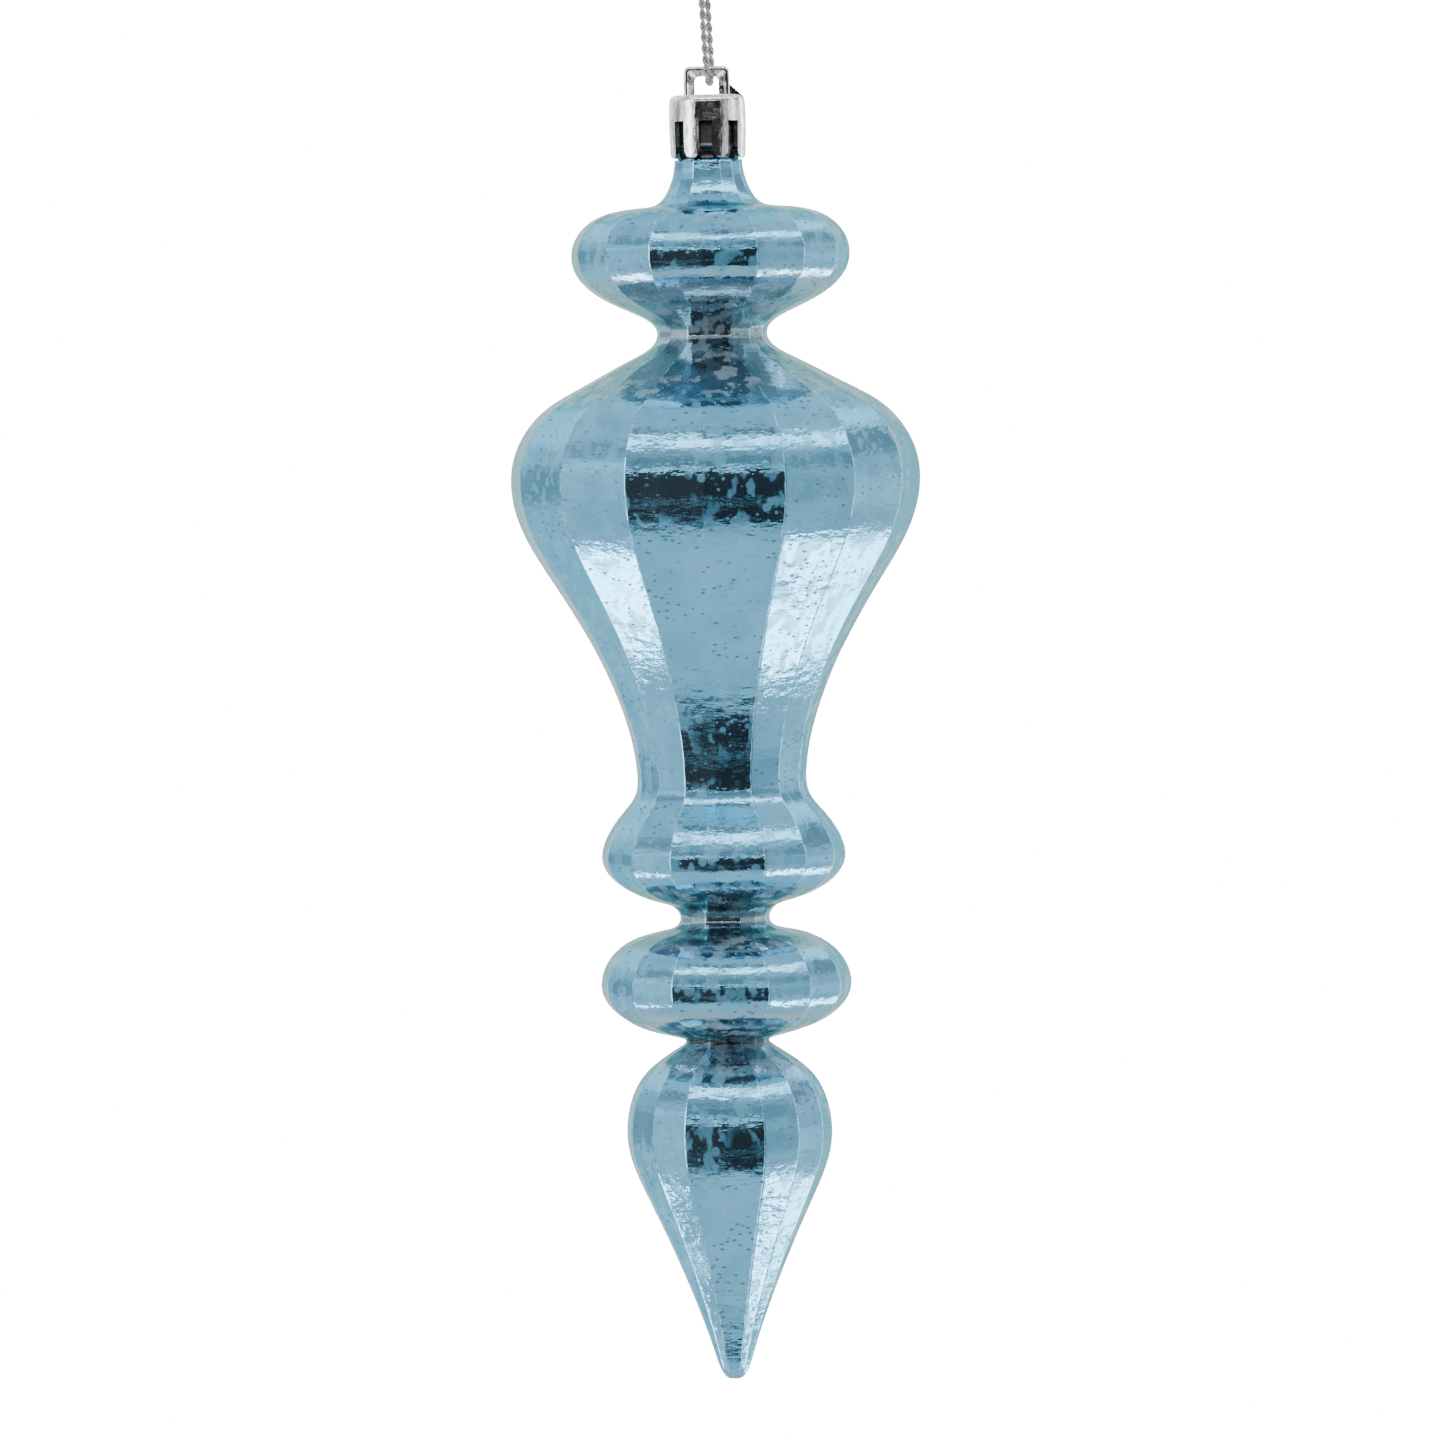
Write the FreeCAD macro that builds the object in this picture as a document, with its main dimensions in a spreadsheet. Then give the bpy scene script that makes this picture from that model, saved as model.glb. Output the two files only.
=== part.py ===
# Icicle hanging ornament: a hollow, sixteen-sided moulded shell under a moulded snap cap,
# on a doubled cord that passes through the cap's eye and ends in a knot.
#
# Frame: +Z up, +X to the right of the front view, the front towards -Y. The origin is the
# point that the ornament hangs from, between the two strands just under the knot.
# Depths are measured down from the top of the cap's eye. Lengths in mm, angles in degrees.
import FreeCAD, Part
import math
import os

import Sketcher

DIMENSIONS = {
    # hanging cord and knot
    "hang_rise": 17.0,
    "cord_diameter": 0.95,
    "knot_width": 3.2,
    "knot_end_width": 2.2,
    "knot_height": 2.6,
    "knot_center": 1.7,
    "tail_length": 4.5,
    "tail_spread": 14.0,
    "tail_gap": 1.1,
    # eye on the cap
    "eye_top_width": 7.6,
    "eye_foot_width": 7.8,
    "eye_corner": 1.1,
    "eye_thickness": 2.4,
    "eye_edge": 0.45,
    "eye_root": 0.4,
    "eye_mouth_width": 6.5,
    "eye_throat_width": 4.0,
    "eye_mouth_depth": 0.65,
    "eye_throat_depth": 1.7,
    "eye_mouth_corner": 0.7,
    "eye_throat_corner": 0.9,
    "gusset_depth": 2.8,
    "gusset_reach": 6.2,
    "gusset_thickness": 0.9,
    "gusset_root": 0.2,
    # cap
    "cap_depth": 4.8,
    "cap_bottom": 15.4,
    "cap_radius": 6.5,
    "cap_rim_radius": 6.3,
    "cap_shoulder": 1.2,
    "cap_barrel": 30.0,
    "cap_edge": 0.4,
    "cap_bore": 5.5,
    "cap_top_wall": 1.0,
    "finger_count": 8,
    "slot_width": 2.2,
    "slot_depth": 9.2,
    "finger_corner": 1.4,
    "slot_turn": -3.0,
    # round neck of the shell, inside the cap
    "neck_top": 6.1,
    "neck_radius": 5.1,
    "bead_depth": 13.6,
    "bead_radius": 5.43,
    "bead_height": 1.6,
    # faceted shell
    "facets": 16,
    "facet_turn": 8.1,
    "shell_top": 15.6,
    "shell_wall": 0.8,
}

# Control points of the shell's outline, as (corner radius, depth), lobe by lobe. A cubic
# B-spline follows them; the corner radius is measured to the edges between the facets.
NECK_FLARE = [(5.7, 15.6), (5.8, 17.6), (6.6, 20.3), (8.6, 23.5)]
TOP_DISC = [
    (13.1, 23.3), (19.5, 24.6), (22.8, 28.0), (23.7, 31.4), (22.7, 35.2), (18.6, 38.7), (12.9, 41.1),
]
UPPER_NECK = [(8.9, 43.2), (9.3, 46.6)]
BULB = [
    (13.9, 48.7), (22.1, 53.2), (28.9, 56.5), (33.7, 62.8), (34.9, 69.7), (32.8, 78.2), (25.9, 88.3),
]
WAIST = [(19.5, 99.4), (15.4, 110.2), (14.3, 116.7), (14.0, 121.9)]
MIDDLE_DISC = [(17.4, 125.0), (20.2, 129.3), (21.0, 133.6), (17.4, 137.5), (11.9, 139.7)]
MIDDLE_NECK = [(7.8, 140.4), (6.8, 144.4)]
LOWER_DISC = [(14.5, 144.9), (19.6, 148.4), (21.4, 152.8), (20.8, 156.7), (15.7, 161.0)]
LOWER_NECK = [(6.2, 162.8), (7.2, 163.7)]
DROP = [
    (13.4, 167.4), (16.4, 171.8), (17.7, 178.3), (16.6, 184.4), (12.3, 193.0), (7.6, 203.8), (3.8, 214.0),
]
TIP = [(2.7, 218.5), (1.5, 220.3), (0.7, 220.3)]
OUTLINE = (NECK_FLARE + TOP_DISC + UPPER_NECK + BULB + WAIST + MIDDLE_DISC + MIDDLE_NECK
           + LOWER_DISC + LOWER_NECK + DROP + TIP)

# Corners of the cord's route: down the front strand, round the eye's bar, up the back one.
CORD_ROUTE = [
    (-0.75, -0.05, 0.5),
    (-0.45, -0.80, -8.5),
    (0.15, -1.99, -18.9),
    (0.50, 0.00, -20.15),
    (0.85, 1.99, -18.9),
    (0.55, 0.80, -8.5),
    (0.20, 0.05, 0.5),
]
RUN_SHARE = 0.45

document = FreeCAD.newDocument("icicle_ornament")
sheet = document.addObject("Spreadsheet::Sheet", "Dimensions")


def fill_sheet():
    for row, (name, value) in enumerate(DIMENSIONS.items(), start=1):
        sheet.set(f"A{row}", name)
        sheet.set(f"B{row}", str(value))
        sheet.setAlias(f"B{row}", name)
    document.recompute()


def size(name):
    return float(sheet.get(name))


def new_body(name):
    body = document.addObject("PartDesign::Body", name)
    body.Label = name
    return body


def plane(body, role):
    for feature in body.Origin.OriginFeatures:
        if feature.Role == role:
            return feature
    raise LookupError(role)


def new_sketch(body, name, role):
    sketch = body.newObject("Sketcher::SketchObject", name)
    sketch.AttachmentSupport = [(plane(body, role), "")]
    sketch.MapMode = "FlatFace"
    return sketch


def draw_polygon(sketch, corners):
    points = [FreeCAD.Vector(x, y, 0) for x, y in corners]
    for start, end in zip(points, points[1:] + points[:1]):
        sketch.addGeometry(Part.LineSegment(start, end), False)


def tangent_arc(before, corner, after, radius):
    """Arc of the given radius that touches both legs of a corner."""
    back = (before - corner).normalize()
    ahead = (after - corner).normalize()
    half_turn = (math.pi - back.getAngle(ahead)) / 2
    reach = radius * math.tan(half_turn)
    bisector = (back + ahead).normalize()
    middle = corner + bisector * (radius / math.cos(half_turn) - radius)
    return Part.Arc(corner + back * reach, middle, corner + ahead * reach)


def rounded_edges(corners, radii):
    """Straight runs joined by tangent arcs; a radius of None leaves that corner sharp."""
    edges = []
    last = corners[0]
    for before, corner, after, radius in zip(corners, corners[1:], corners[2:], radii):
        if radius is None:
            edges.append(Part.LineSegment(last, corner))
            last = corner
            continue
        arc = tangent_arc(before, corner, after, radius)
        edges.append(Part.LineSegment(last, arc.StartPoint))
        edges.append(arc)
        last = arc.EndPoint
    edges.append(Part.LineSegment(last, corners[-1]))
    return edges


def bind(feature, prop, expression):
    feature.setExpression(prop, expression)


def hang_below_mount(body):
    bind(body, "Placement.Base.z", "-Dimensions.hang_rise")


# --- faceted shell -------------------------------------------------------------------------

def inner_outline(outline, wall):
    """The outline moved inwards by the wall, as (corner radius, depth)."""
    points = [FreeCAD.Vector(radius, depth, 0) for radius, depth in outline]
    moved = []
    for before, point, after in zip([points[0]] + points[:-1], points, points[1:] + [points[-1]]):
        along = (after - before).normalize()
        moved.append(point + FreeCAD.Vector(-along.y, along.x, 0) * wall)
    moved[0].y = points[0].y + wall
    moved[-1].y = points[-1].y - wall
    moved[-2].y = moved[-1].y
    return [(point.x, point.y) for point in moved]


def corner_point(radius, depth, index):
    angle = 2 * math.pi * (index + 0.5) / size("facets")
    return FreeCAD.Vector(radius * math.cos(angle), radius * math.sin(angle), -depth)


def corner_curve(outline, index):
    """The edge between two facets: a cubic B-spline in a plane through the axis."""
    curve = Part.BSplineCurve()
    curve.buildFromPoles([corner_point(radius, depth, index) for radius, depth in outline], False, 3)
    return curve.toShape()


def facet_faces(outline):
    """Every facet, ruled with level lines between its two edges."""
    curves = [corner_curve(outline, index) for index in range(int(size("facets")))]
    return [Part.makeRuledSurface(left, right) for left, right in zip(curves, curves[1:] + curves[:1])]


def corner_polygon(radius, depth):
    corners = [corner_point(radius, depth, index) for index in range(int(size("facets")))]
    return Part.makePolygon(corners + corners[:1])


def shoulder_faces(rim, hole_radius):
    """The level ring between the facets and the round neck."""
    radius, depth = rim
    hole = Part.Wire([Part.makeCircle(hole_radius, FreeCAD.Vector(0, 0, -depth))])
    return Part.Face(corner_polygon(radius, depth)).cut(Part.Face(hole)).Faces


def neck_faces():
    """Round neck with its snap bead, turned about the axis, from the shell's top inwards."""
    neck = size("neck_radius")
    bore = neck - size("shell_wall")
    bead = size("bead_depth")
    half_bead = size("bead_height") / 2
    section = [
        (neck, size("shell_top")), (neck, bead + half_bead), (size("bead_radius"), bead),
        (neck, bead - half_bead), (neck, size("neck_top")), (bore, size("neck_top")),
        (bore, size("shell_top") + size("shell_wall")),
    ]
    profile = Part.makePolygon([FreeCAD.Vector(radius, 0, -depth) for radius, depth in section])
    return profile.revolve(FreeCAD.Vector(0, 0, 0), FreeCAD.Vector(0, 0, 1), 360).Faces


def build_shell():
    inside = inner_outline(OUTLINE, size("shell_wall"))
    neck = size("neck_radius")
    bore = neck - size("shell_wall")
    faces = facet_faces(OUTLINE) + facet_faces(inside) + neck_faces()
    faces += shoulder_faces(OUTLINE[0], neck)
    faces += shoulder_faces(inside[0], bore)
    faces.append(Part.Face(corner_polygon(*OUTLINE[-1])))
    faces.append(Part.Face(corner_polygon(*inside[-1])))
    skin = Part.makeShell(faces)
    skin.sewShape()
    shell = document.addObject("Part::Feature", "ornament_shell")
    shell.Label = "ornament_shell"
    solid = Part.makeSolid(skin)
    if solid.Volume < 0:
        solid.reverse()
    shell.Shape = solid
    hang_below_mount(shell)
    bind(shell, "Placement.Rotation.Angle", "Dimensions.facet_turn")
    return shell


# --- cap -----------------------------------------------------------------------------------

def draw_edges(sketch, edges):
    for edge in edges:
        sketch.addGeometry(edge, False)


def flat_points(corners):
    return [FreeCAD.Vector(x, y, 0) for x, y in corners]


def draw_cap_section(sketch):
    """Half of the cup: rounded shoulder, slightly barrelled side, straight bore."""
    top = -size("cap_depth")
    foot = -size("cap_bottom")
    rim = size("cap_rim_radius")
    bore = size("cap_bore")
    ceiling = top - size("cap_top_wall")
    outside = flat_points([
        (0, top), (rim, top), (size("cap_radius"), (top + foot) / 2), (rim, foot),
        (bore, foot), (bore, ceiling),
    ])
    radii = [size("cap_shoulder"), size("cap_barrel"), size("cap_edge"), None]
    draw_edges(sketch, rounded_edges(outside, radii))
    draw_edges(sketch, rounded_edges(flat_points([(bore, ceiling), (0, ceiling), (0, top)]), [None]))


def draw_arch(sketch, width, top, foot_width, foot, corner):
    """Closed arch with two rounded top corners and a flat foot."""
    corners = flat_points([
        (-foot_width / 2, foot), (-width / 2, top), (width / 2, top), (foot_width / 2, foot),
    ])
    draw_edges(sketch, rounded_edges(corners, [corner, corner]))
    sketch.addGeometry(Part.LineSegment(corners[-1], corners[0]), False)


def eye_rim_edges(shape):
    """Names of the eye's outline edges on its front and back faces."""
    names = []
    half = size("eye_thickness") / 2
    for number, edge in enumerate(shape.Edges, start=1):
        box = edge.BoundBox
        on_face = abs(abs(box.YMin) - half) < 1e-4 and abs(box.YMax - box.YMin) < 1e-4
        above_cap = box.ZMax > -size("cap_depth") + 1e-3
        if on_face and above_cap:
            names.append(f"Edge{number}")
    return names


def add_eye_section(body, name, kind, share):
    """Section of the eye's opening: a wide mouth on each face, a narrow throat between them."""
    sketch = new_sketch(body, name, "XZ_Plane")
    bind(sketch, "AttachmentOffset.Base.z", f"Dimensions.eye_thickness * {share}")
    width = size(f"eye_{kind}_width")
    top = -size(f"eye_{kind}_depth")
    draw_arch(sketch, width, top, width, -size("cap_depth"), size(f"eye_{kind}_corner"))
    return sketch


def add_eye(body):
    root = -size("cap_depth") - size("eye_root")
    outline = new_sketch(body, "EyeOutline", "XZ_Plane")
    draw_arch(outline, size("eye_top_width"), 0, size("eye_foot_width"), root, size("eye_corner"))
    block = body.newObject("PartDesign::Pad", "Eye")
    block.Profile = outline
    block.SideType = "Symmetric"
    bind(block, "Length", "Dimensions.eye_thickness")
    document.recompute()

    edges = body.newObject("PartDesign::Fillet", "EyeEdges")
    edges.Base = (block, eye_rim_edges(block.Shape))
    bind(edges, "Radius", "Dimensions.eye_edge")
    document.recompute()

    front = add_eye_section(body, "FrontMouth", "mouth", 0.5)
    throat = add_eye_section(body, "Throat", "throat", 0)
    back = add_eye_section(body, "BackMouth", "mouth", -0.5)
    opening = body.newObject("PartDesign::SubtractiveLoft", "EyeOpening")
    opening.Profile = front
    opening.Sections = [throat, back]
    opening.Ruled = True
    document.recompute()

    web = new_sketch(body, "GussetOutline", "XZ_Plane")
    inset = size("eye_top_width") / 2 - size("gusset_root")
    draw_polygon(web, [(inset, -size("gusset_depth")), (size("gusset_reach"), root), (inset, root)])
    gusset = body.newObject("PartDesign::Pad", "Gusset")
    gusset.Profile = web
    gusset.SideType = "Symmetric"
    bind(gusset, "Length", "Dimensions.gusset_thickness")
    document.recompute()


def draw_slot(sketch):
    """One slot between fingers, flared at the foot by the fingers' rounded corners."""
    half = size("slot_width") / 2
    corner = size("finger_corner")
    foot = -size("cap_bottom")
    start = -size("slot_depth")
    across = half + corner
    below = foot - 1
    left_side = FreeCAD.Vector(-half, foot + corner, 0)
    right_side = FreeCAD.Vector(half, foot + corner, 0)
    bow = corner * math.sin(math.pi / 4)
    left_middle = FreeCAD.Vector(-across + bow, foot + corner - bow, 0)
    right_middle = FreeCAD.Vector(across - bow, foot + corner - bow, 0)
    left_foot = FreeCAD.Vector(-across, foot, 0)
    right_foot = FreeCAD.Vector(across, foot, 0)
    top_left = FreeCAD.Vector(-half, start, 0)
    top_right = FreeCAD.Vector(half, start, 0)
    bottom_left = FreeCAD.Vector(-across, below, 0)
    bottom_right = FreeCAD.Vector(across, below, 0)
    draw_edges(sketch, [
        Part.LineSegment(left_side, top_left),
        Part.LineSegment(top_left, top_right),
        Part.LineSegment(top_right, right_side),
        Part.Arc(right_side, right_middle, right_foot),
        Part.LineSegment(right_foot, bottom_right),
        Part.LineSegment(bottom_right, bottom_left),
        Part.LineSegment(bottom_left, left_foot),
        Part.Arc(left_foot, left_middle, left_side),
    ])


def add_slots(body):
    outline = new_sketch(body, "SlotOutline", "XZ_Plane")
    upright = FreeCAD.Rotation(FreeCAD.Vector(0, 1, 0), 1)
    outline.AttachmentOffset = FreeCAD.Placement(FreeCAD.Vector(0, 0, 0), upright)
    bind(outline, "AttachmentOffset.Rotation.Angle", "Dimensions.slot_turn")
    draw_slot(outline)
    slot = body.newObject("PartDesign::Pocket", "Slot")
    slot.Profile = outline
    slot.SideType = "Symmetric"
    slot.Type = "ThroughAll"
    document.recompute()
    ring = body.newObject("PartDesign::PolarPattern", "Slots")
    ring.Originals = [slot]
    ring.Axis = (outline, ["V_Axis"])
    bind(ring, "Occurrences", "Dimensions.finger_count / 2")
    bind(ring, "Angle", "180 - 360 / Dimensions.finger_count")
    body.Tip = ring
    document.recompute()


def build_cap():
    body = new_body("hanger_cap")
    section = new_sketch(body, "CapSection", "XZ_Plane")
    draw_cap_section(section)
    cup = body.newObject("PartDesign::Revolution", "Cup")
    cup.Profile = section
    cup.ReferenceAxis = (section, ["V_Axis"])
    cup.Angle = 360
    document.recompute()
    add_eye(body)
    add_slots(body)
    hang_below_mount(body)
    return body


# --- cord and knot -------------------------------------------------------------------------

def route_radii(corners):
    """Radius of each inner corner's arc: its share of the shorter run beside it."""
    radii = []
    for before, corner, after in zip(corners, corners[1:], corners[2:]):
        half_turn = (corner - before).getAngle(after - corner) / 2
        shorter = min((corner - before).Length, (after - corner).Length)
        radii.append(RUN_SHARE * shorter / math.tan(half_turn))
    return radii


def build_cord():
    corners = [FreeCAD.Vector(*point) for point in CORD_ROUTE]
    radii = route_radii(corners)
    path = Part.Wire([edge.toShape() for edge in rounded_edges(corners, radii)])
    section = Part.Wire([Part.makeCircle(size("cord_diameter") / 2, corners[0], corners[1] - corners[0])])
    cord = document.addObject("Part::Feature", "hang_cord")
    cord.Label = "hang_cord"
    cord.Shape = path.makePipeShell([section], True, False)
    cord.Placement = FreeCAD.Placement()
    expected = math.pi * size("cord_diameter") ** 2 / 4 * path.Length
    print("cord length", round(path.Length, 2), "radii", [round(radius, 1) for radius in radii])
    print("cord volume", round(cord.Shape.Volume, 2), "section times length", round(expected, 2))
    return cord


def build_knot_lump():
    """The drawn-tight knot: a rounded barrel with flat ends, level with the cord's ends."""
    half_height = size("knot_height") / 2
    middle = size("knot_center")
    end = size("knot_end_width") / 2
    outline = flat_points([
        (0, middle - half_height), (end, middle - half_height), (size("knot_width") / 2, middle),
        (end, middle + half_height), (0, middle + half_height),
    ])
    lump = new_body("KnotLump")
    section = new_sketch(lump, "KnotSection", "XZ_Plane")
    draw_edges(section, rounded_edges(outline, [0.4, 0.9, 0.4]))
    section.addGeometry(Part.LineSegment(outline[-1], outline[0]), False)
    turned = lump.newObject("PartDesign::Revolution", "KnotBarrel")
    turned.Profile = section
    turned.ReferenceAxis = (section, ["V_Axis"])
    turned.Angle = 360
    return lump


def build_knot():
    pieces = [build_knot_lump()]
    for side, sign in (("Left", -1), ("Right", 1)):
        tail = document.addObject("Part::Cylinder", side + "Tail")
        bind(tail, "Radius", "Dimensions.cord_diameter / 2")
        bind(tail, "Height", "Dimensions.tail_length")
        tail.Placement.Rotation = FreeCAD.Rotation(FreeCAD.Vector(0, 1, 0), 1)
        bind(tail, "Placement.Rotation.Angle", f"Dimensions.tail_spread * {sign}")
        bind(tail, "Placement.Base.x", f"Dimensions.tail_gap / 2 * {sign}")
        bind(tail, "Placement.Base.z", "Dimensions.knot_center")
        pieces.append(tail)
    knot = document.addObject("Part::MultiFuse", "cord_knot")
    knot.Label = "cord_knot"
    knot.Shapes = pieces
    return knot


def write_parts(nodes):
    document.recompute()
    for feature in document.Objects:
        if "Invalid" in feature.State or "Error" in feature.State:
            raise RuntimeError(f"{feature.Name} failed: {feature.State}")
    for node in nodes:
        if node.Shape.isNull() or not node.Shape.isValid() or node.Shape.Volume <= 0:
            raise RuntimeError(f"{node.Label} has no sound shape")
    os.makedirs("parts", exist_ok=True)
    for node in nodes:
        node.Shape.exportStep(f"parts/{node.Label}.step")
        print(node.Label, "solids", len(node.Shape.Solids), "volume", round(node.Shape.Volume, 1))


fill_sheet()
write_parts([build_shell(), build_cap(), build_cord(), build_knot()])
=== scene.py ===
import math

import bpy
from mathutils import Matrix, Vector, noise


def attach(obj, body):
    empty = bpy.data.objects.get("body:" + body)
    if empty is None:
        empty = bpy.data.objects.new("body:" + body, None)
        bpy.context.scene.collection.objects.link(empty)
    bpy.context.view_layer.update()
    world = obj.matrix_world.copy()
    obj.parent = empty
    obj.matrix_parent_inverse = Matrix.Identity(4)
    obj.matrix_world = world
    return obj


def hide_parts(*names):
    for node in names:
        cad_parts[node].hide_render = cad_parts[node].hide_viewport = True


# Icicle hanging ornament: a faceted mercury-glass shell under a silver snap cap, on a doubled
# twisted cord. Lengths are in metres, or in millimetres times MM; the shell's outline and neck
# section are plain millimetres.
MM = 0.001

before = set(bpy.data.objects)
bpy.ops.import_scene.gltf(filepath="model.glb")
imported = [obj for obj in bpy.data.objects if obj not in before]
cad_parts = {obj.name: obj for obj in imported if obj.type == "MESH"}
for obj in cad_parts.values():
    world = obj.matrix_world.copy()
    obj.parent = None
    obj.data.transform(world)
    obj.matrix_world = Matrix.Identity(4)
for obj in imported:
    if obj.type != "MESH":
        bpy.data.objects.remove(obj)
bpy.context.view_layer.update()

# Camera: in front of the ornament and a little above its middle, rolled by the ornament's lean.
VIEW_CENTER = Vector((0.0003, 0.0, -0.1268))
CAMERA_PLACE = Vector((0.0003, -1.4, -0.0627))
VIEW_HEIGHT = 0.2423
LEAN = math.radians(1.27)
SENSOR = 36.0

# Cord: down the front strand, round the eye's bar and up the back strand, in metres.
CORD_ROUTE = [
    (-0.00075, -0.00005, 0.0005),
    (-0.00045, -0.00080, -0.0085),
    (0.00005, -0.00205, -0.0189),
    (0.00050, 0.00000, -0.02010),
    (0.00095, 0.00205, -0.0189),
    (0.00055, 0.00080, -0.0085),
    (0.00020, 0.00005, 0.0005),
]
CORD_DIAMETER = 0.95 * MM
CORD_ORDER = 3
CORD_STEPS = 64
# Twist: the length of one turn of the plies, and of the yarns within a ply; then the rings that
# they lie on and a yarn's own radius.
PLY_LAY = 3.8 * MM
YARN_LAY = 1.5 * MM
PLY_RING = 0.28 * CORD_DIAMETER
YARN_RING = 0.21 * CORD_DIAMETER
YARN_RADIUS = 0.16 * CORD_DIAMETER
# Knot: the height of its middle, the ring that it runs round, and how far its loops reach.
KNOT_CENTER = 1.5 * MM
KNOT_RING = 0.85 * MM
KNOT_LOOP = 0.55 * MM
KNOT_FLATNESS = 0.9
KNOT_ROUNDS = 2
KNOT_LOBES = 3
KNOT_STEPS = 180
TAIL_LENGTH = 3.4 * MM
TAIL_SPREAD = math.radians(14)
TAIL_STEPS = 24

# Shell: control points of the outline, as (corner radius, depth below the eye's top), in mm.
EYE_TOP = -17 * MM
NECK_FLARE = [(5.7, 15.6), (5.8, 17.6), (6.6, 20.3), (8.6, 23.5)]
TOP_DISC = [
    (13.1, 23.3), (19.5, 24.6), (22.8, 28.0), (23.7, 31.4), (22.7, 35.2), (18.6, 38.7), (12.9, 41.1),
]
UPPER_NECK = [(8.9, 43.2), (9.3, 46.6)]
BULB = [
    (13.9, 48.7), (22.1, 53.2), (28.9, 56.5), (33.7, 62.8), (34.9, 69.7), (32.8, 78.2), (25.9, 88.3),
]
WAIST = [(19.5, 99.4), (15.4, 110.2), (14.3, 116.7), (14.0, 121.9)]
MIDDLE_DISC = [(17.4, 125.0), (20.2, 129.3), (21.0, 133.6), (17.4, 137.5), (11.9, 139.7)]
MIDDLE_NECK = [(7.8, 140.4), (6.8, 144.4)]
LOWER_DISC = [(14.5, 144.9), (19.6, 148.4), (21.4, 152.8), (20.8, 156.7), (15.7, 161.0)]
LOWER_NECK = [(6.2, 162.8), (7.2, 163.7)]
DROP = [
    (13.4, 167.4), (16.4, 171.8), (17.7, 178.3), (16.6, 184.4), (12.3, 193.0), (7.6, 203.8), (3.8, 214.0),
]
TIP = [(2.7, 218.5), (1.5, 220.3), (0.7, 220.3)]
OUTLINE = (NECK_FLARE + TOP_DISC + UPPER_NECK + BULB + WAIST + MIDDLE_DISC + MIDDLE_NECK
           + LOWER_DISC + LOWER_NECK + DROP + TIP)
OUTLINE_ORDER = 4
OUTLINE_STEPS = 9
FACETS = 16
FACET_TURN = math.radians(8.1)
# Corners that carry the mould's seam, and corners whose painted edge highlight shows only faintly.
SEAM_CORNERS = (4, 12)
FAINT_CORNERS = (3, 7, 11, 15)
FAINT_SHARE = 0.35
SHELL_WALL = 0.8 * MM
# The inner wall follows every sixth point of the outline, without the last few at each end.
INNER_STEP = 6
INNER_END = 4
# Round neck inside the cap, from its bore up over the lip and down past the snap bead, in mm.
NECK_SECTION = [
    (4.3, 16.4), (4.3, 6.5), (4.45, 6.2), (4.7, 6.1), (4.95, 6.2), (5.1, 6.5), (5.1, 12.8),
    (5.25, 13.1), (5.4, 13.4), (5.43, 13.6), (5.4, 13.8), (5.25, 14.1), (5.1, 14.4), (5.1, 15.55),
]
# Hollows between the lobes, where the mirror faces itself and its colour is painted greyer as painted
# shade: (depth, reach up and down), in mm.
HOLLOWS = [(45.0, 12.0), (142.0, 6.5), (162.5, 6.5)]
# Layers on the shell's points: the painted highlight along the facet edges, the painted shade in the
# hollows, and the painted shade on the inside and the neck under the cap.
EDGE_HIGHLIGHT_LAYER = "edge"
HOLLOW_SHADE_LAYER = "hollow"
NECK_SHADE_LAYER = "neck"
# Places of a ring's points over a rounded edge, and across the flat between two edges.
EDGE_SHARES = (-1.0, -0.5, 0.0, 0.5, 1.0)
FLAT_SHARES = (0.27, 0.5, 0.73)
EDGE_ROUNDING = 0.16 * MM
EDGE_MARGIN = 0.35 * MM
MAX_ROUNDING_SHARE = 0.3
MAX_MARGIN_SHARE = 0.15
# The seam stands proud of its corner, between two shallow grooves, and wanders to and fro.
SEAM_HEIGHT = 0.10 * MM
SEAM_GROOVE = 0.25
SEAM_WANDER = 0.3
SEAM_WANDER_LENGTH = 3 * MM
# The moulding's unevenness, which fades out where the shell is narrower than the last radius.
WAVE_HEIGHT = 0.06 * MM
WAVE_LENGTH = 7 * MM
WAVE_FULL_RADIUS = 8 * MM
# Colours of a Mix node go through these sockets.
MIX_COLOR_A = 6
MIX_COLOR_B = 7
MIX_COLOR_OUT = 2


# --- camera --------------------------------------------------------------------------------

def add_camera():
    data = bpy.data.cameras.new("camera")
    camera = bpy.data.objects.new("camera", data)
    bpy.context.scene.collection.objects.link(camera)
    aim = VIEW_CENTER - CAMERA_PLACE
    data.sensor_width = SENSOR
    data.lens = SENSOR * aim.length / VIEW_HEIGHT
    camera.location = CAMERA_PLACE
    turn = aim.to_track_quat("-Z", "Y").to_euler()
    camera.rotation_euler = turn
    camera.rotation_euler.rotate_axis("Z", -LEAN)
    bpy.context.scene.camera = camera


# --- mesh helpers --------------------------------------------------------------------------

def nurbs_line(points, order, steps):
    """Points along the smooth line that has these control points."""
    curve = bpy.data.curves.new("line", "CURVE")
    curve.dimensions = "3D"
    spline = curve.splines.new("NURBS")
    spline.points.add(len(points) - 1)
    for control, place in zip(spline.points, points):
        control.co = (*place, 1)
    spline.order_u = order
    spline.use_endpoint_u = True
    spline.resolution_u = steps
    holder = bpy.data.objects.new("line", curve)
    mesh = bpy.data.meshes.new_from_object(holder)
    line = [vertex.co.copy() for vertex in mesh.vertices]
    bpy.data.objects.remove(holder)
    bpy.data.curves.remove(curve)
    bpy.data.meshes.remove(mesh)
    return line


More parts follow.
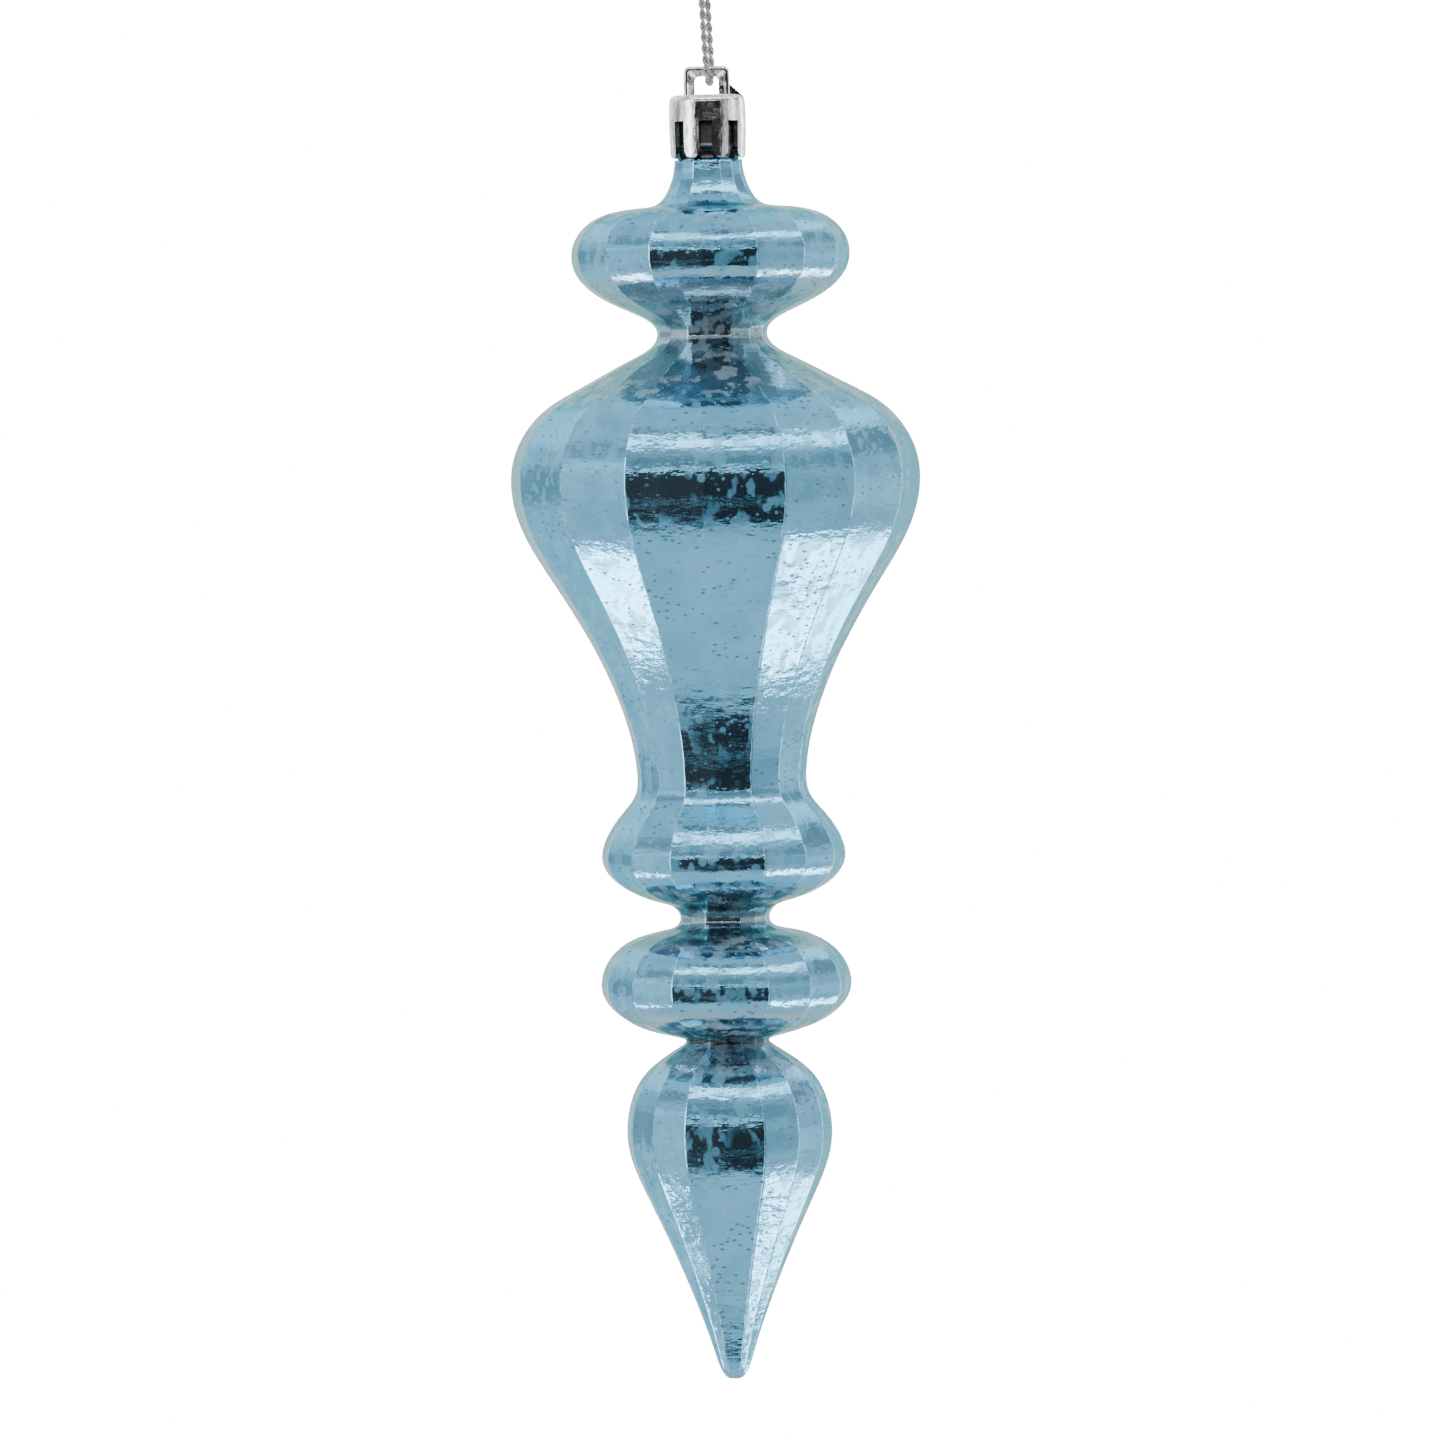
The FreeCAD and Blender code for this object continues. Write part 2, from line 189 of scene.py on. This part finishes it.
def new_piece(name, points, faces, material, uvs=None):
    """A smooth-shaded mesh object. uvs holds one (u, v) pair for every face corner."""
    mesh = bpy.data.meshes.new(name)
    mesh.from_pydata(points, [], faces)
    mesh.materials.append(material)
    mesh.shade_smooth()
    if uvs:
        layer = mesh.uv_layers.new(name="along_and_round")
        for corner, uv in zip(layer.data, uvs):
            corner.uv = uv
    piece = bpy.data.objects.new(name, mesh)
    bpy.context.scene.collection.objects.link(piece)
    return piece


def ring_faces(first, second, count):
    """Quads between two rings of points that start at these indices."""
    faces = []
    for index in range(count):
        after = (index + 1) % count
        faces.append((first + index, second + index, second + after, first + after))
    return faces


# --- node helpers --------------------------------------------------------------------------

def feed(tree, socket, value):
    """Links a socket to another one, or sets its value."""
    if isinstance(value, bpy.types.NodeSocket):
        tree.links.new(value, socket)
    else:
        socket.default_value = value


def calc(tree, operation, *values):
    """One step of arithmetic on numbers or sockets."""
    node = tree.nodes.new("ShaderNodeMath")
    node.operation = operation
    for socket, value in zip(node.inputs, values):
        feed(tree, socket, value)
    return node.outputs[0]


def remap(tree, value, low, high, out_low=0.0, out_high=1.0):
    """Smooth step of a value from low to high, both ends included."""
    node = tree.nodes.new("ShaderNodeMapRange")
    node.interpolation_type = "SMOOTHSTEP"
    feed(tree, node.inputs["Value"], value)
    node.inputs["From Min"].default_value = low
    node.inputs["From Max"].default_value = high
    node.inputs["To Min"].default_value = out_low
    node.inputs["To Max"].default_value = out_high
    return node.outputs["Result"]


def blend_values(tree, first, second, share):
    """A number between two others: the first at share 0, the second at share 1."""
    node = tree.nodes.new("ShaderNodeMix")
    feed(tree, node.inputs["Factor"], share)
    feed(tree, node.inputs["A"], first)
    feed(tree, node.inputs["B"], second)
    return node.outputs["Result"]


def blend_colors(tree, first, second, share):
    """A colour between two others: the first at share 0, the second at share 1."""
    node = tree.nodes.new("ShaderNodeMix")
    node.data_type = "RGBA"
    feed(tree, node.inputs["Factor"], share)
    feed(tree, node.inputs[MIX_COLOR_A], first)
    feed(tree, node.inputs[MIX_COLOR_B], second)
    return node.outputs[MIX_COLOR_OUT]


def place_on_object(tree, stretch=(1, 1, 1)):
    """Object coordinates, stretched along the axes."""
    coordinates = tree.nodes.new("ShaderNodeTexCoord")
    mapping = tree.nodes.new("ShaderNodeMapping")
    mapping.inputs["Scale"].default_value = stretch
    tree.links.new(coordinates.outputs["Object"], mapping.inputs["Vector"])
    return mapping.outputs["Vector"]


def noise_value(tree, place, size, detail=2.0, roughness=0.5):
    """Noise whose lumps are about this size, in metres."""
    node = tree.nodes.new("ShaderNodeTexNoise")
    tree.links.new(place, node.inputs["Vector"])
    node.inputs["Scale"].default_value = 1 / size
    node.inputs["Detail"].default_value = detail
    node.inputs["Roughness"].default_value = roughness
    return node.outputs["Fac"]


def cell_distance(tree, place, size):
    """Distance to the nearest of many scattered points, as a share of their spacing."""
    node = tree.nodes.new("ShaderNodeTexVoronoi")
    tree.links.new(place, node.inputs["Vector"])
    node.inputs["Scale"].default_value = 1 / size
    return node.outputs["Distance"]


def layer_value(tree, name):
    """A number painted on the mesh's points."""
    node = tree.nodes.new("ShaderNodeAttribute")
    node.attribute_name = name
    return node.outputs["Fac"]


def bump(tree, height, distance, normal=None):
    """A surface normal with this relief, on top of an earlier one if given."""
    node = tree.nodes.new("ShaderNodeBump")
    feed(tree, node.inputs["Height"], height)
    node.inputs["Distance"].default_value = distance
    if normal:
        tree.links.new(normal, node.inputs["Normal"])
    return node.outputs["Normal"]


def new_material(name):
    """A new material, its node tree and its shader."""
    material = bpy.data.materials.new(name)
    material.use_nodes = True
    tree = material.node_tree
    return material, tree, tree.nodes["Principled BSDF"]


# --- materials -----------------------------------------------------------------------------

def mirror_marks(tree, place):
    """Rough blotches, bubbles and smears in the coat, gathered in patches."""
    patches = remap(tree, noise_value(tree, place, 14 * MM), 0.34, 0.50)
    blotches = remap(tree, cell_distance(tree, place, 3.0 * MM), 0.30, 0.22)
    bubbles = remap(tree, cell_distance(tree, place, 1.5 * MM), 0.22, 0.14)
    tall_place = place_on_object(tree, (1, 1, 0.6))
    smears = remap(tree, noise_value(tree, tall_place, 2.8 * MM), 0.52, 0.60)
    marks = calc(tree, "MAXIMUM", blotches, bubbles)
    return calc(tree, "MULTIPLY", calc(tree, "MAXIMUM", marks, smears), patches)


def mirror_specks(tree, place):
    """Fine dark specks where the coat is worn through, gathered in patches."""
    specks = remap(tree, cell_distance(tree, place, 1.9 * MM), 0.28, 0.12)
    patches = remap(tree, noise_value(tree, place, 9 * MM, 3.0), 0.36, 0.52)
    return calc(tree, "MULTIPLY", specks, patches)


def mirror_color(tree, film, specks, edge):
    """Cloudy blue, with painted shade greyer in the hollows, darker in specks, a painted highlight paler
    along edges, and painted shade dark on the inside and neck.
    """
    deep_blue = (0.11, 0.38, 0.60, 1)
    light_blue = (0.14, 0.45, 0.69, 1)
    # Painted shade: the coat turns greyer in the hollows between the lobes.
    hollow_painted_shade = (0.27, 0.40, 0.49, 1)
    speck_color = (0.07, 0.15, 0.20, 1)
    # Painted highlight: paler blue along the facet edges.
    edge_painted_highlight = (0.36, 0.70, 0.92, 1)
    # Painted shade: the inside of the shell and its neck under the cap turn dark.
    neck_painted_shade = (0.05, 0.055, 0.06, 1)
    hollow = remap(tree, layer_value(tree, HOLLOW_SHADE_LAYER), 0.0, 0.7)
    color = blend_colors(tree, deep_blue, light_blue, remap(tree, film, 0.36, 0.64))
    color = blend_colors(tree, color, hollow_painted_shade, hollow)
    color = blend_colors(tree, color, speck_color, calc(tree, "MULTIPLY", specks, 0.85))
    color = blend_colors(tree, color, edge_painted_highlight, edge)
    return blend_colors(tree, color, neck_painted_shade, layer_value(tree, NECK_SHADE_LAYER))


def mercury_glass():
    """Light blue mirror coat: crinkled, with rough round blotches and fine dark specks."""
    material, tree, shader = new_material("mercury_glass")
    place = place_on_object(tree)
    flat_place = place_on_object(tree, (1, 1, 1.8))
    marks = mirror_marks(tree, place)
    specks = mirror_specks(tree, flat_place)
    film = noise_value(tree, place, 8 * MM, 4.0, 0.6)
    # Painted highlight along the facet edges, broken into glints by noise.
    edge_highlight_breaks = remap(tree, noise_value(tree, place, 1.3 * MM), 0.46, 0.60)
    edge = calc(tree, "MULTIPLY", remap(tree, layer_value(tree, EDGE_HIGHLIGHT_LAYER), 0.2, 1.0), edge_highlight_breaks)

    feed(tree, shader.inputs["Base Color"], mirror_color(tree, film, specks, edge))
    # Less metallic where the coat is hazy, and under the painted edge highlight.
    haze_and_edge_highlight = calc(tree, "MAXIMUM", marks, calc(tree, "MULTIPLY", edge, 0.5))
    feed(tree, shader.inputs["Metallic"], blend_values(tree, 0.98, 0.50, haze_and_edge_highlight))
    shader.inputs["Specular Tint"].default_value = (0.34, 0.66, 0.64, 1)

    rough = remap(tree, film, 0.3, 0.75, 0.05, 0.13)
    rough = blend_values(tree, rough, 0.16, marks)
    rough = blend_values(tree, rough, 0.38, specks)
    rough = blend_values(tree, rough, 0.14, edge)
    feed(tree, shader.inputs["Roughness"], rough)
    shader.inputs["Coat Weight"].default_value = 0.4
    shader.inputs["Coat Roughness"].default_value = 0.5

    crinkle = noise_value(tree, flat_place, 2.4 * MM, 3.0, 0.6)
    ripple = noise_value(tree, place_on_object(tree, (1, 1, 4)), 6 * MM, 3.0)
    normal = bump(tree, crinkle, 0.07 * MM)
    normal = bump(tree, ripple, 0.08 * MM, normal)
    normal = bump(tree, marks, -0.006 * MM, normal)
    feed(tree, shader.inputs["Normal"], normal)
    return material


def silver_plate():
    """Vacuum-plated plastic: bright, faintly uneven, with fine marks and hazier patches."""
    material, tree, shader = new_material("silver_plate")
    place = place_on_object(tree)
    drawn = place_on_object(tree, (1, 1, 0.25))
    haze = noise_value(tree, place, 2.5 * MM, 3.0)
    streaks = noise_value(tree, drawn, 0.5 * MM, 2.0)
    tarnish = remap(tree, noise_value(tree, drawn, 0.9 * MM, 3.0, 0.6), 0.46, 0.66)
    bright = (0.97, 0.97, 0.97, 1)
    dull = (0.42, 0.42, 0.43, 1)
    feed(tree, shader.inputs["Base Color"], blend_colors(tree, bright, dull, tarnish))
    shader.inputs["Metallic"].default_value = 1.0
    feed(tree, shader.inputs["Roughness"], remap(tree, haze, 0.3, 0.7, 0.06, 0.2))
    shader.inputs["Coat Weight"].default_value = 0.4
    shader.inputs["Coat Roughness"].default_value = 0.05
    normal = bump(tree, haze, 0.10 * MM)
    normal = bump(tree, streaks, 0.03 * MM, normal)
    feed(tree, shader.inputs["Normal"], normal)
    return material


def silver_yarn():
    """Metallic thread: bright flat filaments wound round each yarn, with painted shade darker between
    them.
    """
    material, tree, shader = new_material("silver_yarn")
    coordinates = tree.nodes.new("ShaderNodeTexCoord")
    filaments = tree.nodes.new("ShaderNodeTexWave")
    filaments.wave_type = "BANDS"
    filaments.bands_direction = "DIAGONAL"
    filaments.inputs["Scale"].default_value = 3.0
    filaments.inputs["Distortion"].default_value = 2.0
    filaments.inputs["Detail"].default_value = 2.0
    tree.links.new(coordinates.outputs["UV"], filaments.inputs["Vector"])
    glints = noise_value(tree, place_on_object(tree), 0.35 * MM, 2.0)
    shine = remap(tree, calc(tree, "MULTIPLY", filaments.outputs["Fac"], glints), 0.20, 0.38)
    # Painted shade between the filaments, where they lie in each other's shadow.
    gap_painted_shade = (0.06, 0.06, 0.06, 1)
    bright = (0.97, 0.97, 0.98, 1)
    feed(tree, shader.inputs["Base Color"], blend_colors(tree, gap_painted_shade, bright, shine))
    shader.inputs["Metallic"].default_value = 0.75
    feed(tree, shader.inputs["Roughness"], remap(tree, glints, 0.3, 0.7, 0.2, 0.42))
    feed(tree, shader.inputs["Normal"], bump(tree, filaments.outputs["Fac"], 0.03 * MM))
    return material


def pale_table():
    """Matt white board with a faint cloudiness and a very fine tooth."""
    material, tree, shader = new_material("pale_table")
    place = place_on_object(tree)
    clouds = noise_value(tree, place, 90 * MM, 3.0)
    warm_white = (0.80, 0.80, 0.79, 1)
    white = (0.86, 0.86, 0.86, 1)
    feed(tree, shader.inputs["Base Color"], blend_colors(tree, warm_white, white, clouds))
    shader.inputs["Roughness"].default_value = 0.7
    feed(tree, shader.inputs["Normal"], bump(tree, noise_value(tree, place, 0.8 * MM), 0.05 * MM))
    return material


# --- cord and knot -------------------------------------------------------------------------

def frames_along(path):
    """For every point of a path: the point, two directions across it, and the distance run."""
    frames = []
    side = None
    run = 0.0
    for index, point in enumerate(path):
        before = path[max(index - 1, 0)]
        after = path[min(index + 1, len(path) - 1)]
        along = (after - before).normalized()
        if side is None:
            side = along.orthogonal()
        side = (side - along * side.dot(along)).normalized()
        if index:
            run += (point - before).length
        frames.append((point, side, along.cross(side), run))
    return frames


def twisted_strand(path, plies=2, yarns=5, sides=6, fray=0.0):
    """Points, faces and UVs of a cord: plies twisted together, each of yarns twisted together.

    With fray, the yarns spread apart towards the path's end."""
    points, faces, uvs = [], [], []
    frames = frames_along(path)
    length = frames[-1][3]
    for ply in range(plies):
        for yarn in range(yarns):
            base = len(points)
            for center, side, up, run in frames:
                ply_angle = 2 * math.pi * (ply / plies - run / PLY_LAY)
                yarn_angle = 2 * math.pi * (yarn / yarns + run / YARN_LAY)
                spread = 1 + fray * (run / length) ** 2
                ply_reach = PLY_RING * spread
                yarn_reach = YARN_RING * spread
                aside = ply_reach * math.cos(ply_angle) + yarn_reach * math.cos(yarn_angle)
                upward = ply_reach * math.sin(ply_angle) + yarn_reach * math.sin(yarn_angle)
                middle = center + side * aside + up * upward
                for step in range(sides):
                    turn = 2 * math.pi * step / sides
                    outward = side * math.cos(turn) + up * math.sin(turn)
                    points.append(middle + YARN_RADIUS * outward)
            for row in range(len(frames) - 1):
                start = base + row * sides
                faces += ring_faces(start, start + sides, sides)
                low = frames[row][3] / MM
                high = frames[row + 1][3] / MM
                for step in range(sides):
                    left = step / sides
                    right = (step + 1) / sides
                    uvs += [(left, low), (left, high), (right, high), (right, low)]
            last = base + (len(frames) - 1) * sides
            for end in (range(base, base + sides), range(last + sides - 1, last - 1, -1)):
                faces.append(tuple(end))
                uvs += [(0.5, 0.0)] * sides
    return points, faces, uvs


def add_cord(material):
    """The doubled cord, and the smooth line that it follows."""
    path = nurbs_line(CORD_ROUTE, CORD_ORDER, CORD_STEPS)
    points, faces, uvs = twisted_strand(path)
    cord = new_piece("hang_cord_twisted", points, faces, material, uvs)
    return cord, path


def knot_path():
    """A drawn-tight overhand knot: twice round the vertical axis, through its own loops."""
    path = []
    for step in range(KNOT_STEPS + 1):
        turn = 2 * math.pi * step / KNOT_STEPS
        ring = KNOT_RING + KNOT_LOOP * math.cos(KNOT_LOBES * turn)
        height = KNOT_CENTER + KNOT_FLATNESS * KNOT_LOOP * math.sin(KNOT_LOBES * turn)
        round_axis = KNOT_ROUNDS * turn
        path.append(Vector((ring * math.cos(round_axis), ring * math.sin(round_axis), height)))
    return path


def tail_path(sign):
    """A cut end that leaves the top of the knot and leans outwards."""
    start = Vector((sign * 0.35 * MM, sign * 0.1 * MM, KNOT_CENTER + 0.6 * MM))
    lean = Vector((sign * math.sin(TAIL_SPREAD), 0.12 * sign, math.cos(TAIL_SPREAD)))
    bow = Vector((sign * 0.25 * MM, 0, 0))
    controls = [start, start + lean * TAIL_LENGTH * 0.4 - bow, start + lean * TAIL_LENGTH]
    return nurbs_line(controls, CORD_ORDER, TAIL_STEPS)


def add_knot(material):
    """The knot and its two frayed tails, as one piece."""
    points, faces, uvs = [], [], []
    for path, fray in ((knot_path(), 0.0), (tail_path(-1), 0.9), (tail_path(1), 0.7)):
        more_points, more_faces, more_uvs = twisted_strand(path, fray=fray)
        base = len(points)
        points += more_points
        faces += [tuple(index + base for index in face) for face in more_faces]
        uvs += more_uvs
    return new_piece("cord_knot_tied", points, faces, material, uvs)


# --- faceted shell -------------------------------------------------------------------------

def corner_angle(index):
    """The direction of a corner between two facets, round the vertical axis."""
    return 2 * math.pi * (index + 0.5) / FACETS + FACET_TURN


def seam_rise(share, lift):
    """How far the seam stands out at its middle, or is sunk in the grooves beside it."""
    if share == 0:
        return lift
    if abs(share) == 0.5:
        return -SEAM_GROOVE * lift
    return 0.0


def across_corner(radius, index, height):
    """Points over the rounded edge at a corner; the mould's seam stands proud of it."""
    corner = Vector((math.cos(corner_angle(index)), math.sin(corner_angle(index)), 0)) * radius
    half_facet = radius * math.sin(math.pi / FACETS)
    reach = min(EDGE_ROUNDING, MAX_ROUNDING_SHARE * half_facet)
    outward = corner.normalized()
    tangent = Vector((-outward.y, outward.x, 0))
    slope = math.sin(math.pi / FACETS)
    lift = 0.0
    shift = 0.0
    if index in SEAM_CORNERS:
        lift = SEAM_HEIGHT * reach / EDGE_ROUNDING
        wander = noise.noise(Vector((height / SEAM_WANDER_LENGTH, index, 0)))
        shift = SEAM_WANDER * reach * wander
    points = []
    for share in EDGE_SHARES:
        drop = reach * slope * (0.5 + 0.5 * share * share)
        rise = seam_rise(share, lift)
        aside = share * reach + shift * (1 - abs(share))
        points.append(corner + tangent * aside + outward * (rise - drop))
    return points


def shell_ring(radius, height):
    """One level ring: for each facet, its first corner's rounding and points across the flat."""
    corners = [across_corner(radius, index, height) for index in range(FACETS)]
    ring = []
    for corner, following in zip(corners, corners[1:] + corners[:1]):
        start = corner[-1]
        end = following[0]
        width = (end - start).length
        margin = min(EDGE_MARGIN / width, MAX_MARGIN_SHARE)
        ring += corner
        ring += [start.lerp(end, share) for share in (margin, *FLAT_SHARES, 1 - margin)]
    return ring


def round_ring(radius, pattern):
    """A circle with its points in the same directions as another ring's."""
    return [point.normalized() * radius for point in pattern]


def inward(line, index, wall):
    """A point of the outline moved inside by the wall."""
    before = line[max(index - 1, 0)]
    after = line[min(index + 1, len(line) - 1)]
    along = (after - before).normalized()
    return line[index].x - abs(along.z) * wall, line[index].z - along.x * wall


def wave(point):
    """The moulding's slight unevenness, out or in."""
    return WAVE_HEIGHT * noise.noise(Vector(point) / WAVE_LENGTH)


def hollow_shade_share(depth):
    """How far inside a hollow a depth lies, for the painted shade there: 1 in its middle, 0 at its ends.
    """
    shares = [1 - ((depth - middle) / reach) ** 2 for middle, reach in HOLLOWS]
    return max(0.0, *shares)


def edge_highlight_share(place, per_facet):
    """How plainly the painted highlight along a facet's edge shows at this place round a ring."""
    corner, step = divmod(place, per_facet)
    if not 0 < step < len(EDGE_SHARES) - 1:
        return 0.0
    return FAINT_SHARE if corner in FAINT_CORNERS else 1.0


def paint_layer(piece, name, value_at):
    """A number on every point of a piece, for its material to read."""
    layer = piece.data.attributes.new(name, "FLOAT", "POINT")
    for index, value in enumerate(layer.data):
        value.value = value_at(index)


def inner_rings(line, pattern):
    """The round inside of the shell, from the tip upwards, then the neck over its lip."""
    rings = []
    for index in range(len(line) - INNER_END, INNER_END, -INNER_STEP):
        radius, height = inward(line, index, SHELL_WALL)
        rings.append([(p.x, p.y, height) for p in round_ring(radius, pattern)])
    for radius, depth in NECK_SECTION:
        rings.append([(p.x, p.y, -depth * MM) for p in round_ring(radius * MM, pattern)])
    return rings


def faceted_rings(line):
    """The faceted outside of the shell, from the neck down to the tip."""
    rings = []
    for point in line:
        ring = []
        for flat in shell_ring(point.x, point.z):
            place = Vector((flat.x, flat.y, point.z))
            full = min(1, point.x / WAVE_FULL_RADIUS)
            ring.append(tuple(place + place.normalized() * wave(place) * full))
        rings.append(ring)
    return rings


def add_shell(material):
    """The hollow shell: inside, lip and outside are one closed skin."""
    controls = [(radius * MM, 0, -depth * MM) for radius, depth in OUTLINE]
    line = nurbs_line(controls, OUTLINE_ORDER, OUTLINE_STEPS)
    pattern = shell_ring(OUTLINE[0][0] * MM, 0)
    rings = inner_rings(line, pattern) + faceted_rings(line)
    count = len(pattern)
    points = [(x, y, z + EYE_TOP) for ring in rings for x, y, z in ring]
    faces = []
    for row in range(len(rings) - 1):
        faces += ring_faces(row * count, (row + 1) * count, count)
    faces.append(tuple(range(count)))
    faces.append(tuple(range(len(points) - 1, len(points) - count - 1, -1)))
    shell = new_piece("ornament_shell_faceted", points, faces, material)
    inner_count = len(points) - len(line) * count
    per_facet = count // FACETS
    # Masks for painted light: a highlight along the facet edges, shade on the inside and neck, and shade
    # in the hollows.
    paint_layer(shell, EDGE_HIGHLIGHT_LAYER, lambda index: edge_highlight_share(index % count, per_facet))
    paint_layer(shell, NECK_SHADE_LAYER, lambda index: 1.0 if index < inner_count else 0.0)
    paint_layer(shell, HOLLOW_SHADE_LAYER, lambda index: hollow_shade_share((EYE_TOP - points[index][2]) / MM))
    return shell


# --- floor and light -----------------------------------------------------------------------

def add_floor(material):
    """A round table, far enough down that a view from a little below still clears it."""
    height = -0.95
    radius = 0.8
    sides = 96
    points = [(0, 0, height)]
    for step in range(sides):
        turn = 2 * math.pi * step / sides
        points.append((radius * math.cos(turn), radius * math.sin(turn), height))
    faces = [(0, 1 + step, 1 + (step + 1) % sides) for step in range(sides)]
    floor = new_piece("floor", points, faces, material)
    floor.visible_glossy = False


# Soft light and dark boards round the ornament, which light it and show in its reflections:
# (name, azimuth, elevation, half width, half height, soft edge, brightness), with angles in
# degrees. Azimuth runs from the camera's side towards the right.
BOARDS = [
    ("ceiling", 0, 78, 181, 17, 5, 1.15),
    ("front_upper", 0, 38, 52, 22, 3, 0.85),
    ("front_shade", 0, 24, 50, 6, 3, 0.50),
    ("front_bright_band", -5, 50, 58, 6, 2.5, 5.2),
    ("front_bright_line", -3, 15, 45, 1.6, 1, 3.0),
    ("front_dark_card", 0, 64, 50, 2.5, 1, 0.35),
    ("front_lower", 0, -75, 60, 34, 3, 1.25),
    ("front_shelf_line", -8, -21, 50, 0.9, 0.6, 0.55),
    ("front_low_line", -34, -36, 12, 1.2, 0.8, 0.60),
    ("left_low_glow", -76, -1, 6, 12, 3, 1.35),
    ("far_left_low_shade", -121, 0, 7, 10, 3, 0.75),
    ("far_right_low_glow", 108, -9, 6, 8, 3, 1.6),
    ("right_low_shade", 62, -8, 7, 11, 3, 0.85),
    ("strip_left", -57, -2, 10, 30, 2, 5.0),
    ("strip_left_inner", -44, -2, 4, 26, 1.5, 1.4),
    ("strip_far_left", -98, -2, 9, 26, 2, 0.6),
    ("strip_behind_left", -143, 0, 8, 26, 2, 1.7),
    ("strip_right", 86, -2, 6, 26, 2, 3.2),
    ("strip_far_right", 130, 0, 8, 26, 2, 4.0),
    ("left_shade", -82, 33, 18, 6, 4, 0.70),
    ("left_glow", -78, 17, 12, 3, 3, 1.9),
    ("right_shade", 68, 20, 16, 8, 3, 0.65),
    ("right_bright_band", 74, 43, 22, 5, 3, 5.0),
    ("far_right_shade", 115, 25, 13, 8, 3, 0.60),
    ("far_right_band", 125, 36, 22, 3, 2, 2.6),
    ("far_right_low_light", 126, -31, 7, 4.0, 1.5, 11.0),
    ("far_left_glow", -138, 27, 18, 5, 4, 2.1),
]
# Brightness of the room all round, from the camera's side (0) to behind the ornament (1).
ROOM = [(0.0, 0.02), (0.22, 0.04), (0.31, 1.0), (0.45, 1.25), (0.62, 1.15), (0.78, 1.5), (1.0, 1.3)]
BACKDROP = 17.0
# Two softboxes low at the sides: (name, azimuth in degrees, distance, height, width, length,
# brightness).
SOFTBOXES = [
    ("softbox_right", 78, 0.40, -0.525, 0.10, 0.12, 11.0),
    ("softbox_left", -96, 0.40, -0.485, 0.10, 0.09, 12.0),
]


def room_brightness(tree, azimuth):
    """Brightness of the bare room in a direction."""
    ramp = tree.nodes.new("ShaderNodeValToRGB")
    feed(tree, ramp.inputs["Fac"], calc(tree, "DIVIDE", calc(tree, "ABSOLUTE", azimuth), 180))
    elements = ramp.color_ramp.elements
    while len(elements) < len(ROOM):
        elements.new(0.5)
    for element, (place, level) in zip(elements, ROOM):
        element.position = place
        element.color = (level, level, level, 1)
    return ramp.outputs["Color"]


def add_board(tree, light, azimuth, elevation, board):
    """The light so far with one board laid over it."""
    name, board_azimuth, board_elevation, half_width, half_height, soft, level = board
    aside = calc(tree, "ABSOLUTE", calc(tree, "SUBTRACT", azimuth, board_azimuth))
    above = calc(tree, "ABSOLUTE", calc(tree, "SUBTRACT", elevation, board_elevation))
    wide = remap(tree, aside, half_width - soft, half_width + soft, 1.0, 0.0)
    high = remap(tree, above, half_height - soft, half_height + soft, 1.0, 0.0)
    share = calc(tree, "MULTIPLY", wide, high)
    share.node.label = name
    return blend_values(tree, light, level, share)


def add_studio():
    """Soft light from boards all round; the camera itself sees a plain white backdrop."""
    world = bpy.data.worlds.new("studio")
    bpy.context.scene.world = world
    world.use_nodes = True
    tree = world.node_tree
    direction = tree.nodes.new("ShaderNodeSeparateXYZ")
    tree.links.new(tree.nodes.new("ShaderNodeTexCoord").outputs["Generated"], direction.inputs[0])
    x, y, z = direction.outputs
    degrees = 180 / math.pi
    azimuth = calc(tree, "MULTIPLY", calc(tree, "ARCTAN2", x, calc(tree, "MULTIPLY", y, -1)), degrees)
    elevation = calc(tree, "MULTIPLY", calc(tree, "ARCSINE", z), degrees)
    light = room_brightness(tree, azimuth)
    for board in BOARDS:
        light = add_board(tree, light, azimuth, elevation, board)
    sight = tree.nodes.new("ShaderNodeLightPath").outputs["Is Camera Ray"]
    background = tree.nodes["Background"]
    feed(tree, background.inputs["Strength"], blend_values(tree, light, BACKDROP, sight))
    background.inputs["Color"].default_value = (1, 1, 1, 1)


def add_softboxes():
    for name, azimuth, distance, height, width, length, brightness in SOFTBOXES:
        data = bpy.data.lights.new(name, "AREA")
        data.shape = "RECTANGLE"
        data.size = width
        data.size_y = length
        data.energy = brightness * math.pi * width * length
        box = bpy.data.objects.new(name, data)
        turn = math.radians(azimuth)
        box.location = (distance * math.sin(turn), -distance * math.cos(turn), height)
        aim = VIEW_CENTER - box.location
        box.rotation_euler = aim.to_track_quat("-Z", "Y").to_euler()
        bpy.context.scene.collection.objects.link(box)


# --- the scene -----------------------------------------------------------------------------

add_camera()

yarn = silver_yarn()
cord, cord_path = add_cord(yarn)
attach(cord, "hang_loop_body")
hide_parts("hang_cord")
knot = add_knot(yarn)
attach(knot, "hang_loop_body")
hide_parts("cord_knot")

shell = add_shell(mercury_glass())
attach(shell, "shell_body")
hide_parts("ornament_shell")

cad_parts["hanger_cap"].material_slots[0].material = silver_plate()

add_floor(pale_table())
add_studio()
add_softboxes()
